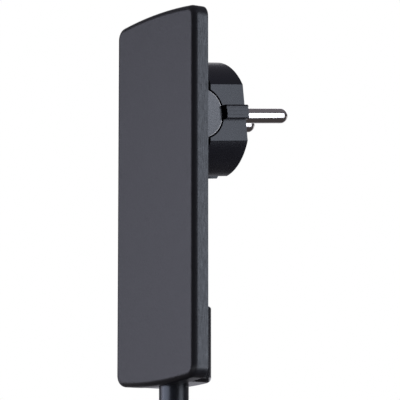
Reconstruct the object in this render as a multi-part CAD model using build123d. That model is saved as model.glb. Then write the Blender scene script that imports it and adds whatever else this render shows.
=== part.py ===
from build123d import *
import os
from math import cos, pi, radians, sin, sqrt, tan

os.makedirs("parts", exist_ok=True)

# A flat mains plug: a lever plate hinged on a round two-pin insert, with a cord that hangs in a tied hank.
# Lengths in millimetres, angles in degrees. X runs along the pins, Y across them and Z up.
# The origin is midway between the pins, on the face that they stand out of.

# Pins and insert
pin_d = 4.8
pin_length = 19.0
pin_spacing = 19.0
pin_neck_d = 4.0
pin_hole_chamfer = 0.75  # round each pin hole in the face
pin_tail = 3.6  # how far a pin's crimp end reaches behind the face wall
insert_d = 37.4
flat_to_flat = 32.8
face_wall = 3.6
face_to_rim = 1.7
lead_in = 2.6
cavity_h = 22.8
rib_w = 4.6
rib_rise = 2.1
rib_edge_r = 0.7
rib_line_w = 0.5  # fine lines along the ribs
rib_line_depth = 0.2
groove_w = 5.8
groove_depth = 2.8
cap_t = 3.0  # least thickness of the rear cap
clip_t = 0.6
clip_d = 5.6
clip_gap = 0.1  # between a pin's clip and the cavity's side
neck_gap = 0.02

# Earth bracket
earth_strip_t = 0.8
earth_bar_w = 4.0
earth_arm_w = 4.6
earth_arm_length = 8.0
crimp_d = 4.0
strip_gap = 0.1

# Hinge
hinge_to_face = 18.25
hinge_behind_plate = 2.0
hinge_up = 25.4  # height of the hinge above the middle of the plate
rest_tilt = 6.0  # the lever stands this far open at rest
rear_gap = 5.4  # between the plate and the insert's rear
lug_r = 8.1
lug_t = 2.6
lug_tip = 7.7  # the lug's round end is cut flat here
lug_edge = 0.5
lug_gap = 0.35  # round the lug's rim
lug_side_gap = 0.25
knuckle_r = 5.0
knuckle_gap = 0.35  # between a knuckle's end and the lug
knuckle_neck_h = 8.4
hinge_pin_d = 3.0
hinge_pin_in_lug = 1.9
hinge_pin_length = 6.4
hinge_running_gap = 0.05
window_h = 11.6

# Lever plate
plate_w = 46.4
plate_h = 119.2
plate_t = 5.4
end_sagitta = 1.35  # how far the two short ends bow out
corner_r = 3.9
front_edge_r = 1.95
front_wall = 1.2
rim_wall = 1.2
ledge = 1.2  # what the rear cover rests on inside the rim
cover_t = 1.4
seam_gap = 0.1
boss_d = 4.6
guide_rib_t = 1.0
guide_rib_gap = 0.3

# Cord hump on the back of the lever
hump_w = 29.2
hump_h = 24.4
hump_rise = 8.25
hump_wall = 1.2
hump_floor = 3.0
hump_side_r = 3.5
hump_top_r = 0.9
hump_end_r = 1.6

# Cord, its clamp and its cores
cord_d = 9.4
cord_set_back = 7.6  # from the plate's front to the cord's middle
cord_gap = 0.05
sheath_inside = 12.1  # length of sheath inside the housing
cord_straight = 24.0  # from the plate's end to where the cord starts to bend
core_d = 2.6
core_pitch = 2.9
core_gap_at_hinge = 0.4
core_past_hinge = 1.6  # how far a core's side reaches past the hinge axis before it is split
core_spread = 2.0  # room for the cores where they part inside the cap
core_straight = 1.7  # straight stretch at each end of a core inside the insert
core_bend = 0.95  # radius of a core's small bends, in core diameters
clamp_h = 4.6
clamp_w = 21.6
clamp_t = 2.8
clamp_front_gap = 0.4
clamp_above_floor = 2.6
clamp_post_d = 5.0
clamp_screw_spacing = 16.6

# Screws
screw_d = 2.0
screw_head_d = 3.6
screw_head_t = 0.9
screw_gap = 0.03
screw_slot = 0.6
screw_wall = 1.0  # plastic left round a screw or its head

# Hank of put-away cord and its stripped end
hank_x = -45.4  # where the first strand hangs
hank_top = -192.0  # middle of the upper folds
hank_lead = 32.0  # straight cord above the first strand
hank_run = 115.0
hank_fold_r = 28.2
hank_pitch = 9.6
hank_loops = 3
hank_edge_r = 3.0
tie_t = 1.2
tie_h = 8.0
tie_gap = 0.3
sheath_short_of_fold = 8.0
core_end_d = 2.9
core_end_length = 28.0
core_end_circle_r = 2.2
ferrule_d = 2.0
ferrule_length = 9.0
ferrule_collar_d = 3.4
ferrule_collar_length = 2.4

# Sizes that follow from these
insert_r = insert_d / 2
flat_half = flat_to_flat / 2
cavity_half_w = (pin_spacing + clip_d) / 2 + clip_gap
cavity_half_h = cavity_h / 2
groove_floor = insert_r - groove_depth
hinge_x = -hinge_to_face
rear_behind_hinge = rear_gap - hinge_behind_plate
cap_inner_x = hinge_x + rear_behind_hinge / cos(radians(rest_tilt)) + cap_t
crimp_x = -face_wall - pin_tail
lug_inner = flat_half - lug_t
recess_floor = lug_inner - lug_side_gap
knuckle_end = lug_inner - knuckle_gap
plate_half_h = plate_h / 2
end_arc_r = ((plate_w / 2) ** 2 + end_sagitta**2) / (2 * end_sagitta)
hinge_set = plate_t + hinge_behind_plate
cover_x = plate_t - cover_t
lead_x = (front_wall + cover_x) / 2
hump_top = hump_h - plate_half_h
sheath_end = sheath_inside - plate_half_h
knuckle_inner = core_pitch + core_d / 2 + core_past_hinge
clamp_z = hump_floor - plate_half_h + clamp_above_floor + clamp_h / 2
far = 80.0  # well outside the part, for cutting shapes


def rod_x(radius, x0, x1, y=0.0, z=0.0):
    """Round bar along X."""
    return Pos((x0 + x1) / 2, y, z) * Rot(0, 90, 0) * Cylinder(radius, x1 - x0)


def rod_y(radius, y0, y1, x=0.0, z=0.0):
    """Round bar along Y."""
    return Pos(x, (y0 + y1) / 2, z) * Rot(90, 0, 0) * Cylinder(radius, y1 - y0)


def rod_z(radius, z0, z1, x=0.0, y=0.0):
    """Round bar along Z."""
    return Pos(x, y, (z0 + z1) / 2) * Cylinder(radius, z1 - z0)


def block(x0, x1, y0, y1, z0, z1):
    """Box between two corners."""
    middle = Pos((x0 + x1) / 2, (y0 + y1) / 2, (z0 + z1) / 2)
    return middle * Box(x1 - x0, y1 - y0, z1 - z0)


def both_sides(low, high):
    """The span from low to high on the near side and on the far side."""
    return [(-high, -low), (low, high)]


def on_lever(shape):
    """Carry a shape from the plate's own frame to the part's frame, at the lever's rest angle.

    In the plate's frame X = 0 is the front face and the plate's middle is at Z = 0.
    """
    return Pos(hinge_x, 0, 0) * Rot(0, rest_tilt, 0) * Pos(-hinge_set, 0, -hinge_up) * shape


def lever_point(x, z):
    """A point of the plate's middle plane, carried to the part's frame like on_lever."""
    tilt = radians(rest_tilt)
    x, z = x - hinge_set, z - hinge_up
    return (hinge_x + x * cos(tilt) + z * sin(tilt), 0.0, z * cos(tilt) - x * sin(tilt))


# The cord's way from its sheath end to the hank
cord_route = [
    lever_point(cord_set_back, sheath_end),
    lever_point(cord_set_back, -plate_half_h - cord_straight),
    (hank_x, hank_fold_r, hank_top + hank_lead),
    (hank_x, hank_fold_r, hank_top),
]


def end_height(y, inset=0.0):
    """Height of the plate's bowed end above its middle, at a distance y from the centre line."""
    return plate_half_h - end_arc_r + sqrt((end_arc_r - inset) ** 2 - y**2)


def plate_outline(inset=0.0):
    """The plate's outline in the YZ plane: straight sides, bowed ends and round corners."""
    half_w = plate_w / 2 - inset
    side = end_height(half_w, inset)
    tip = end_height(0, inset)
    outline = Curve() + [
        Line((-half_w, -side), (-half_w, side)),
        ThreePointArc((-half_w, side), (0, tip), (half_w, side)),
        Line((half_w, side), (half_w, -side)),
        ThreePointArc((half_w, -side), (0, -tip), (-half_w, -side)),
    ]
    face = make_face(outline)
    return Plane.YZ * fillet(face.vertices(), max(corner_r - inset, corner_r / 4))


def solid_hump():
    """The hump before it is hollowed: round at the sides, and its lower end follows the plate's bowed end."""
    half_w = hump_w / 2
    hump = block(plate_t, plate_t + hump_rise, -half_w, half_w, -plate_half_h - end_sagitta, hump_top)
    hump = fillet(hump.edges().filter_by(Axis.Z).sort_by(Axis.X)[-2:], hump_side_r)
    hump &= Pos(plate_t, 0, 0) * extrude(plate_outline(), hump_rise)
    for index, radius in ((-1, hump_top_r), (0, hump_end_r)):
        rim = hump.faces().sort_by(Axis.Z)[index].edges()
        hump = fillet([edge for edge in rim if edge.center().X > plate_t + radius], radius)
    return hump


def cover_screw_places():
    """Where the rear cover's screws stand, as (y, z) in the plate's frame."""
    y = plate_w / 2 - rim_wall - boss_d / 2 - seam_gap
    top = end_height(y) - rim_wall - boss_d / 2 - seam_gap
    return [(side * y, z) for side in (-1, 1) for z in (-top, (hump_top + hinge_up) / 2, top)]


def cap_screw_places():
    """Where the cap's screws stand, as (y, z)."""
    inset = screw_head_d / 2 + seam_gap + screw_wall / 2
    y = cavity_half_w - inset
    z = cavity_half_h - inset
    return [(side * y, level * z) for side in (-1, 1) for level in (-1, 1)]


def screw(place, under_head, tip, facing=1):
    """A slotted screw along X; facing says which way its head points from under_head."""
    y, z = place
    top = under_head + facing * screw_head_t
    head = rod_x(screw_head_d / 2, *sorted((under_head, top)), y, z)
    shank = rod_x(screw_d / 2, *sorted((under_head, tip)), y, z)
    half = screw_slot / 2
    depth = screw_head_t / 2
    slot = block(top - depth, top + depth, y - screw_head_d, y + screw_head_d, z - half, z + half)
    return head + shank - slot


def behind_insert():
    """Everything behind the insert's rear plane, which is parallel to the plate at rest."""
    return Pos(hinge_x, 0, 0) * Rot(0, rest_tilt, 0) * block(-far, rear_behind_hinge, -far, far, -far, far)


def nose_profile(half):
    """Half of the insert's length section in the XY plane, with the lead-in from its rim to its face."""
    corners = [(hinge_x, 0), (hinge_x, half), (-face_to_rim, half), (0, half - lead_in), (0, 0)]
    return make_face(Polyline(*corners, close=True))


def guide_rib(side):
    """Rib along one flat, with rounded long edges and fine lines along it."""
    top = flat_half + rib_rise
    y0, y1 = sorted((side * (flat_half - rib_rise), side * top))
    rib = block(hinge_x, -face_to_rim, y0, y1, -rib_w / 2, rib_w / 2)
    outer = rib.faces().sort_by(Axis.Y)[-1 if side > 0 else 0]
    rib = fillet(outer.edges().filter_by(Axis.X), rib_edge_r)
    y0, y1 = sorted((side * (top - rib_line_depth), side * far))
    for step in (-1, 0, 1):
        z = step * rib_w / 4
        rib -= block(hinge_x, -face_to_rim, y0, y1, z - rib_line_w / 2, z + rib_line_w / 2)
    return rib


def insert_body():
    """Round cup with flats, guide ribs, lug recesses, earth grooves and pin holes."""
    body = revolve(nose_profile(insert_r), Axis.X)
    body &= extrude(nose_profile(flat_half) + mirror(nose_profile(flat_half), Plane.XZ), insert_r, both=True)
    for side in (-1, 1):
        body += guide_rib(side)
    body -= behind_insert()
    for y0, y1 in both_sides(recess_floor, far):
        body -= rod_y(lug_r + lug_gap, y0, y1, hinge_x)
    body -= block(-far, -face_wall, -cavity_half_w, cavity_half_w, -cavity_half_h, cavity_half_h)
    body -= rod_y(knuckle_r + seam_gap, -recess_floor, recess_floor, hinge_x)
    for y, z in cap_screw_places():
        body += rod_x(screw_d / 2 + screw_wall, cap_inner_x, -face_wall, y, z)
        body -= rod_x(screw_d / 2 + screw_gap, cap_inner_x, -face_wall, y, z)
    for side in (-1, 1):
        y = side * pin_spacing / 2
        hole_r = pin_neck_d / 2 + neck_gap
        body -= rod_x(hole_r, -face_wall, 0, y)
        chamfer_cut = Cone(hole_r, hole_r + pin_hole_chamfer, pin_hole_chamfer)
        body -= Pos(-pin_hole_chamfer / 2, y, 0) * Rot(0, 90, 0) * chamfer_cut
    for z0, z1 in both_sides(groove_floor, far):
        body -= block(-far, far, -groove_w / 2, groove_w / 2, z0, z1)
    slot_half = earth_bar_w / 2 + strip_gap
    for z0, z1 in both_sides(0, far):
        body -= block(-far, -face_wall, -slot_half, slot_half, z0, z1)
    return body


def insert_rear_cap():
    """Plate that closes the cup, with two hinge knuckles and a window for the cores between them."""
    half_w = cavity_half_w - seam_gap
    half_h = cavity_half_h - seam_gap
    cap = block(hinge_x - knuckle_r, cap_inner_x, -half_w, half_w, -half_h, half_h) - behind_insert()
    for y0, y1 in both_sides(knuckle_inner, knuckle_end):
        cap += rod_y(knuckle_r, y0, y1, hinge_x)
    for y0, y1 in both_sides(knuckle_inner, half_w):
        cap += block(hinge_x, cap_inner_x, y0, y1, -knuckle_neck_h / 2, knuckle_neck_h / 2)
    window = core_pitch + core_d
    cap -= block(hinge_x, far, -window, window, -core_d, core_d)
    spread = window + core_spread
    cap -= block(cap_inner_x - core_spread, far, -spread, spread, -core_d, core_d)
    for y0, y1 in both_sides(knuckle_end + hinge_pin_in_lug + knuckle_gap - hinge_pin_length, far):
        cap -= rod_y(hinge_pin_d / 2 + neck_gap, y0, y1, hinge_x)
    seat = cap_inner_x - screw_head_t
    for y, z in cap_screw_places():
        cap -= rod_x(screw_d / 2 + screw_gap, -far, far, y, z)
        cap -= rod_x(screw_head_d / 2 + seam_gap, -far, seat, y, z)
    return cap


def insert_screws():
    """The cap's four screws; their heads point to the plate."""
    seat = cap_inner_x - screw_head_t
    tip = -face_wall - screw_d / 2
    return [screw(place, seat, tip, facing=-1) for place in cap_screw_places()]


def contact_pin(side):
    """Round contact pin with a domed tip, a neck in the face wall and a crimp end."""
    y = side * pin_spacing / 2
    r = pin_d / 2
    pin = rod_x(r, 0, pin_length - r, y) + Pos(pin_length - r, y, 0) * Sphere(r)
    pin += rod_x(pin_neck_d / 2, crimp_x, 0, y)
    return pin - rod_x(pin_neck_d / 4, crimp_x, crimp_x + pin_tail / 2, y)


def pin_clips():
    """Push-on washers that hold the pins behind the face wall."""
    clips = []
    for side in (-1, 1):
        y = side * pin_spacing / 2
        ring = rod_x(clip_d / 2, -face_wall - clip_t, -face_wall, y)
        clips.append(ring - rod_x(pin_neck_d / 2 + neck_gap, -far, far, y))
    return clips


def earth_bracket():
    """One strip bent to a U: a bar behind the face wall and two side contacts in the grooves."""
    top = groove_floor + earth_strip_t
    back = -face_wall - earth_strip_t
    bar_half = earth_bar_w / 2
    strip = block(back, -face_wall, -bar_half, bar_half, -top, top)
    arm_half = earth_arm_w / 2
    for z0, z1 in both_sides(groove_floor, top):
        strip += block(-face_wall - earth_arm_length, -face_wall, -arm_half, arm_half, z0, z1)
    strip += rod_x(crimp_d / 2, crimp_x, back)
    return strip - rod_x(crimp_d / 4, crimp_x, crimp_x + pin_tail / 2)


def swept_core(points, radii, diameter):
    """A core along straight runs joined by arcs."""
    path = FilletPolyline(*points, radius=radii)
    start = Plane(origin=path @ 0, z_dir=path % 0)
    return sweep(start * Circle(diameter / 2), path=path)


def core_tail(side):
    """A core's end inside the insert, from the hinge to its crimp."""
    start_x = hinge_x + core_d / 2 + core_past_hinge + core_gap_at_hinge
    if side == 0:
        return rod_x(core_d / 2, start_x, crimp_x)
    y0, y1 = side * core_pitch, side * pin_spacing / 2
    bend_r = core_d * core_bend
    points = [
        (start_x, y0, 0),
        (start_x + core_straight, y0, 0),
        (crimp_x - core_straight, y1, 0),
        (crimp_x, y1, 0),
    ]
    return swept_core(points, [bend_r, bend_r], core_d)


def hinge_pin(side):
    """Short steel pin, pressed into a knuckle and free to turn in a lug."""
    outer = lug_inner + hinge_pin_in_lug
    y0, y1 = sorted((side * (outer - hinge_pin_length), side * outer))
    return rod_y(hinge_pin_d / 2, y0, y1, hinge_x)


def front_shell():
    """The visible plate: a shallow tray with a rounded front edge, screw bosses and core guides."""
    shell = extrude(plate_outline(), plate_t)
    shell = fillet(shell.faces().sort_by(Axis.X)[0].edges(), front_edge_r)
    shell -= Pos(cover_x, 0, 0) * extrude(plate_outline(rim_wall), cover_t)
    shell -= Pos(front_wall, 0, 0) * extrude(plate_outline(rim_wall + ledge), plate_t)
    for y, z in cover_screw_places():
        shell += rod_x(boss_d / 2, front_wall, cover_x, y, z)
        shell -= rod_x(screw_d / 2 + screw_gap, front_wall, cover_x, y, z)
    guide = core_pitch + core_d / 2 + guide_rib_gap
    for y0, y1 in both_sides(guide, guide + guide_rib_t):
        shell += block(front_wall, cover_x, y0, y1, hump_top + hump_wall, hinge_up - window_h)
    cut_r = cord_d / 2 + cord_gap
    return shell - rod_z(cut_r, -far, sheath_end, cord_set_back)


def hinge_lug(y0, y1):
    """Half-round ear that stands on the rear cover, with a blind hole for the hinge pin."""
    lug = rod_y(lug_r, y0, y1, hinge_set, hinge_up)
    lug += block(cover_x, hinge_set, y0, y1, hinge_up - lug_r, hinge_up + lug_r)
    lug -= block(cover_x - lug_r, cover_x, y0, y1, hinge_up - lug_r, hinge_up + lug_r)
    faces = lug.faces().sort_by(Axis.Y)
    outer = faces[-1] if y0 > 0 else faces[0]
    rim = [edge for edge in outer.edges() if edge.center().X > cover_x + lug_edge]
    lug = chamfer(rim, lug_edge)
    lug -= block(hinge_set + lug_tip, far, y0, y1, hinge_up - lug_r, hinge_up + lug_r)
    depth = hinge_pin_in_lug + seam_gap
    hole = sorted((y0 + depth, y0)) if y0 > 0 else sorted((y1 - depth, y1))
    return lug - rod_y(hinge_pin_d / 2 + hinge_running_gap, *hole, hinge_set, hinge_up)


def rear_cover():
    """Inset back plate with the hinge lugs, the window between them and the hollow cord hump."""
    cover = Pos(cover_x, 0, 0) * extrude(plate_outline(rim_wall + seam_gap), cover_t)
    cover += solid_hump()
    hump_back = plate_t + hump_rise - hump_wall
    inner_half = hump_w / 2 - hump_wall
    hump_low = hump_floor - plate_half_h
    hollow = block(cover_x, hump_back, -inner_half, inner_half, hump_low, hump_top - hump_wall)
    cover -= fillet(hollow.edges().filter_by(Axis.Z).sort_by(Axis.X)[-2:], hump_side_r - hump_wall)
    post_x = front_wall + clamp_front_gap + clamp_t
    for side in (-1, 1):
        y = side * clamp_screw_spacing / 2
        cover += rod_x(clamp_post_d / 2, post_x, hump_back, y, clamp_z)
        cover -= rod_x(screw_d / 2 + screw_gap, post_x, hump_back - hump_wall, y, clamp_z)
    cover -= rod_z(cord_d / 2 + cord_gap, -far, sheath_end, cord_set_back)
    half_window = window_h / 2
    low, high = hinge_up - half_window, hinge_up + half_window
    cover -= block(cover_x, plate_t, -lug_inner, lug_inner, low, high)
    for y0, y1 in both_sides(lug_inner, flat_half):
        cover += hinge_lug(y0, y1)
    for y, z in cover_screw_places():
        cover -= rod_x(screw_d / 2 + screw_gap, cover_x, plate_t, y, z)
        cover -= rod_x(screw_head_d / 2 + seam_gap, plate_t - screw_head_t, plate_t, y, z)
    return cover


def cover_screws():
    """The rear cover's screws; their heads point to the wall."""
    seat = plate_t - screw_head_t
    tip = front_wall + screw_d / 4
    return [screw(place, seat, tip) for place in cover_screw_places()]


def clamp_front():
    """Where the clamp's front face lies in the plate's frame."""
    return front_wall + clamp_front_gap


def cord_clamp():
    """Bar with a round saddle that presses the cord's sheath into the hump."""
    x0 = clamp_front()
    bar = block(x0, x0 + clamp_t, -clamp_w / 2, clamp_w / 2, clamp_z - clamp_h / 2, clamp_z + clamp_h / 2)
    bar = fillet(bar.edges().filter_by(Axis.X), clamp_h / 4)
    bar -= rod_z(cord_d / 2 + cord_gap, -far, far, cord_set_back)
    for side in (-1, 1):
        y = side * clamp_screw_spacing / 2
        bar -= rod_x(screw_d / 2 + screw_gap, x0, x0 + clamp_t, y, clamp_z)
        bar -= rod_x(screw_head_d / 2 + seam_gap, x0, x0 + screw_head_t, y, clamp_z)
    return bar


def clamp_screws():
    """The clamp's two screws, driven from the front."""
    seat = clamp_front() + screw_head_t
    tip = plate_t + hump_rise - 3 * hump_wall
    half = clamp_screw_spacing / 2
    return [screw((side * half, clamp_z), seat, tip, facing=-1) for side in (-1, 1)]


def core_lead(side):
    """A core inside the lever, from the sheath's end up the plate and round into the hinge."""
    y = side * core_pitch
    rise = core_d * core_bend
    set_forward = cord_set_back - lead_x
    points = [
        (cord_set_back, y, sheath_end),
        (cord_set_back, y, sheath_end + rise),
        (lead_x, y, sheath_end + rise + set_forward),
        (lead_x, y, hinge_up),
        (hinge_set + core_d / 2 + core_past_hinge, y, hinge_up),
    ]
    bend_r = core_d * core_bend
    return swept_core(points, [bend_r, bend_r, hinge_set - lead_x], core_d)


def cord_corner_radii():
    """Each corner's arc is as large as its two runs allow."""
    points = [Vector(*point) for point in cord_route]
    radii = []
    for before, here, after in zip(points, points[1:], points[2:]):
        run_in, run_out = here - before, after - here
        half_turn = radians(run_in.get_angle(run_out)) / 2
        radii.append(0.45 * min(run_in.length, run_out.length) / tan(half_turn))
    return radii


def cord():
    """The free cord from its sheath end to the hank."""
    radii = cord_corner_radii()
    path = FilletPolyline(*cord_route, radius=radii)
    start = Plane(origin=path @ 0, z_dir=path % 0)
    tube = sweep(start * Circle(cord_d / 2), path=path)
    print("cord arc radii, mm:", [round(radius, 1) for radius in radii])
    print("cord length, mm:", round(path.length, 1))
    straight_volume = pi * cord_d**2 / 4 * path.length
    print("cord volume over section times length:", round(tube.volume / straight_volume, 4))
    return tube


def last_strand():
    """Where the last straight strand of the hank lies, as (x, y)."""
    x, y, _ = cord_route[-1]
    return x + hank_loops * hank_pitch, y


def hank_bottom():
    """Height where the hank's straight strands end and its lower folds begin."""
    return cord_route[-1][2] - hank_run


def cord_hank():
    """Outer shape of the tied hank: loops side by side, and the last strand that ends on its way down."""
    x, _, top = cord_route[-1]
    r = cord_d / 2
    outer = SlotCenterToCenter(hank_run, 2 * (hank_fold_r + r), rotation=90)
    inner = SlotCenterToCenter(hank_run, 2 * (hank_fold_r - r), rotation=90)
    thickness = (hank_loops - 1) * hank_pitch + cord_d
    ring = Pos(x - r, 0, top - hank_run / 2) * extrude(Plane.YZ * (outer - inner), thickness)
    ring = fillet(ring.edges().filter_by(Plane.YZ), hank_edge_r)
    strand_x, strand_y = last_strand()
    strand = rod_z(r, hank_bottom() + sheath_short_of_fold, top, strand_x, strand_y)
    bridge_half = hank_edge_r / 2
    bridge = block(strand_x - hank_pitch, strand_x, strand_y - bridge_half, strand_y + bridge_half,
                   hank_bottom() + sheath_short_of_fold, top)
    return ring + strand + bridge


def hank_ties():
    """Two flat straps, one round the strands on each side of the hank."""
    x, y, top = cord_route[-1]
    r = cord_d / 2
    z = top - hank_run / 2
    ties = []
    for side_y, strands in ((y, hank_loops + 1), (-y, hank_loops)):
        wide = (strands - 1) * hank_pitch + cord_d + 2 * tie_gap
        deep = cord_d + 2 * tie_gap
        centre = Pos(x - r - tie_gap + wide / 2, side_y, z - tie_h / 2)
        hole = RectangleRounded(wide, deep, hank_edge_r)
        band = RectangleRounded(wide + 2 * tie_t, deep + 2 * tie_t, hank_edge_r + tie_t)
        ties.append(centre * extrude(band - hole, tie_h))
    return ties


def core_end_place(number):
    """Where one of the three stripped cores stands round the cord's middle, as (x, y)."""
    x, y = last_strand()
    angle = radians(90 + 120 * number)
    return x + core_end_circle_r * cos(angle), y + core_end_circle_r * sin(angle)


def core_end(number):
    """One core of the stripped cord end, hanging down."""
    x, y = core_end_place(number)
    top = hank_bottom() + sheath_short_of_fold
    return rod_z(core_end_d / 2, top - core_end_length, top, x, y)


def core_ferrules():
    """Crimped sleeves with a collar on the three stripped ends."""
    top = hank_bottom() + sheath_short_of_fold - core_end_length
    sleeves = []
    for number in range(3):
        x, y = core_end_place(number)
        collar = rod_z(ferrule_collar_d / 2, top - ferrule_collar_length, top, x, y)
        sleeves.append(collar + rod_z(ferrule_d / 2, top - ferrule_length, top, x, y))
    return sleeves


def write(name, shape):
    """Write one node, which is a solid or a group of separate solids."""
    solids = shape if isinstance(shape, list) else [shape]
    bodies = [solid for item in solids for solid in item.solids()]
    export_step(bodies[0] if len(bodies) == 1 else Compound(children=bodies), f"parts/{name}.step")


def write_on_lever(name, shape):
    """Write one node that is modelled in the plate's frame."""
    solids = shape if isinstance(shape, list) else [shape]
    write(name, [on_lever(solid) for solid in solids])


write("insert_body", insert_body())
write("insert_rear_cap", insert_rear_cap())
write("insert_screws", insert_screws())
write("live_pin", contact_pin(-1))
write("neutral_pin", contact_pin(1))
write("pin_clips", pin_clips())
write("earth_bracket", earth_bracket())
write("live_tail", core_tail(-1))
write("neutral_tail", core_tail(1))
write("earth_tail", core_tail(0))
write("hinge_pin_near", hinge_pin(-1))
write("hinge_pin_far", hinge_pin(1))

write_on_lever("front_shell", front_shell())
write_on_lever("rear_cover", rear_cover())
write_on_lever("cover_screws", cover_screws())
write_on_lever("cord_clamp", cord_clamp())
write_on_lever("clamp_screws", clamp_screws())
write_on_lever("live_lead", core_lead(-1))
write_on_lever("neutral_lead", core_lead(1))
write_on_lever("earth_lead", core_lead(0))

write("cord", cord())
write("cord_hank", cord_hank())
write("hank_ties", hank_ties())
write("live_core_end", core_end(0))
write("neutral_core_end", core_end(1))
write("earth_core_end", core_end(2))
write("core_ferrules", core_ferrules())
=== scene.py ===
"""Looks of a flat mains plug: a hinged lever plate, a round two-pin insert and a cord in a hank."""
import logging
from dataclasses import dataclass
from enum import Enum
from math import cos, pi, radians, sin

import bpy
import numpy as np
from mathutils import Matrix, Vector


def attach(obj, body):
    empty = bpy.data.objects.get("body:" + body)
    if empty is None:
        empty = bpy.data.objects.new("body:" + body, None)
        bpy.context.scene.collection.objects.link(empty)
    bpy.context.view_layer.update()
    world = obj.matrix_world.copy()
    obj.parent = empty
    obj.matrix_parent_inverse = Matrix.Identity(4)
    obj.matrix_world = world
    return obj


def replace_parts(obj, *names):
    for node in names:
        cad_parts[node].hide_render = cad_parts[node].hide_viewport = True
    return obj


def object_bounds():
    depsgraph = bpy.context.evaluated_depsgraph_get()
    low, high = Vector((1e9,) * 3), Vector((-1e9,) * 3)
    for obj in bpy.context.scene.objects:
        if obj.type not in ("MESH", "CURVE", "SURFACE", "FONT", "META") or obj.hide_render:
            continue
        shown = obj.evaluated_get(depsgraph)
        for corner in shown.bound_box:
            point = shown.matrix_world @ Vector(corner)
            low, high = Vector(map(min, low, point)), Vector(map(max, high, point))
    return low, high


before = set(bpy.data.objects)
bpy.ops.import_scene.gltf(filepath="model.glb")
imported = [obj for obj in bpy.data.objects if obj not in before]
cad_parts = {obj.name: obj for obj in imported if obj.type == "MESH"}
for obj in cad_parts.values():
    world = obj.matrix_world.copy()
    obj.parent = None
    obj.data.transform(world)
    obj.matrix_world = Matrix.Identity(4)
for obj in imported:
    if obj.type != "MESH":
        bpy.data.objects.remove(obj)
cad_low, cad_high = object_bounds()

Point = tuple[float, float, float]
Colour = tuple[float, float, float]
Span = tuple[float, float]
Socket = bpy.types.NodeSocket

MM = 0.001
NOISE_RANGE: Span = (0.3, 0.7)  # where most values of a noise lie
NOISE_ROUGHNESS = 0.55  # how strong each finer layer of a noise is
PLATE_TILT_DEG = 6.0  # how far the plate leans from upright at rest
LEVER = "lever"  # the body that every new piece rides on
log = logging.getLogger("plug")


class Slot(Enum):
    """The record's material slots, listed beside the new pieces; their finishes are not taken from them."""

    HOUSING = "housing"
    CORD_SHEATH = "cord_sheath"
    CORE_BROWN = "core_brown"
    CORE_BLUE = "core_blue"
    CORE_GREEN_YELLOW = "core_green_yellow"
    TIE_STRAP = "tie_strap"
    FERRULE_TIN = "ferrule_tin"


class Core(Enum):
    """The three cores, by their place round the cord's middle."""

    LIVE = 0
    NEUTRAL = 1
    EARTH = 2


def lighter(colour: Colour, factor: float) -> Colour:
    """The colour times a factor, at most white."""
    return tuple(min(1.0, channel * factor) for channel in colour)


class NodeTree:
    """A tree of shader nodes, with short calls that add nodes and join them."""

    def __init__(self, owner: bpy.types.Material | bpy.types.World) -> None:
        """Turn on the owner's nodes.

        Args:
            owner: What the nodes belong to.
        """
        owner.use_nodes = True
        self.nodes = owner.node_tree.nodes
        self.links = owner.node_tree.links

    def add(self, kind: str, values: dict[str, object] | None = None, **settings: object) -> bpy.types.Node:
        """Add a node.

        Args:
            kind: Blender's name for the type of node, without its common prefix.
            values: Numbers and colours for the input sockets, by socket name.
            settings: The node's own options.

        Returns:
            The new node.
        """
        node = self.nodes.new("ShaderNode" + kind)
        for option, value in settings.items():
            setattr(node, option, value)
        for socket, value in (values or {}).items():
            node.inputs[socket].default_value = value
        return node

    def join(self, source: Socket, node: bpy.types.Node, socket: str | int) -> None:
        """Link an output to a node's input socket."""
        self.links.new(source, node.inputs[socket])

    def math(self, operation: str, *terms: Socket | float) -> Socket:
        """One step of arithmetic.

        Args:
            operation: Blender's name for it.
            terms: Sockets or plain numbers.

        Returns:
            The result.
        """
        node = self.add("Math", operation=operation)
        for place, term in enumerate(terms):
            if isinstance(term, Socket):
                self.join(term, node, place)
            else:
                node.inputs[place].default_value = term
        return node.outputs["Value"]

    def smooth_step(self, value: Socket, span: Span, levels: Span) -> Socket:
        """Go smoothly from one level to another while a value crosses a span.

        Args:
            value: The value.
            span: Where the change starts and ends.
            levels: The result before and after it.

        Returns:
            The result.
        """
        limits = {"From Min": span[0], "From Max": span[1], "To Min": levels[0], "To Max": levels[1]}
        node = self.add("MapRange", limits, interpolation_type="SMOOTHSTEP")
        self.join(value, node, "Value")
        return node.outputs["Result"]

    def along(self, vector: Socket, axis: Point) -> Socket:
        """How far a vector reaches along an axis.

        Args:
            vector: The vector.
            axis: The axis, of length 1.

        Returns:
            Their dot product.
        """
        node = self.add("VectorMath", operation="DOT_PRODUCT")
        node.inputs[1].default_value = axis
        self.join(vector, node, 0)
        return node.outputs["Value"]

    def choose(self, share: Socket, first: Socket, second: Socket, output: str) -> None:
        """Send a mix of two shaders to the tree's output.

        Args:
            share: How much of the second shader there is, from 0 to 1.
            first: The first shader.
            second: The second shader.
            output: The output node's name.
        """
        mix = self.add("MixShader")
        for place, socket in enumerate((share, first, second)):
            self.join(socket, mix, place)
        self.join(mix.outputs["Shader"], self.nodes[output], "Surface")


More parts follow.
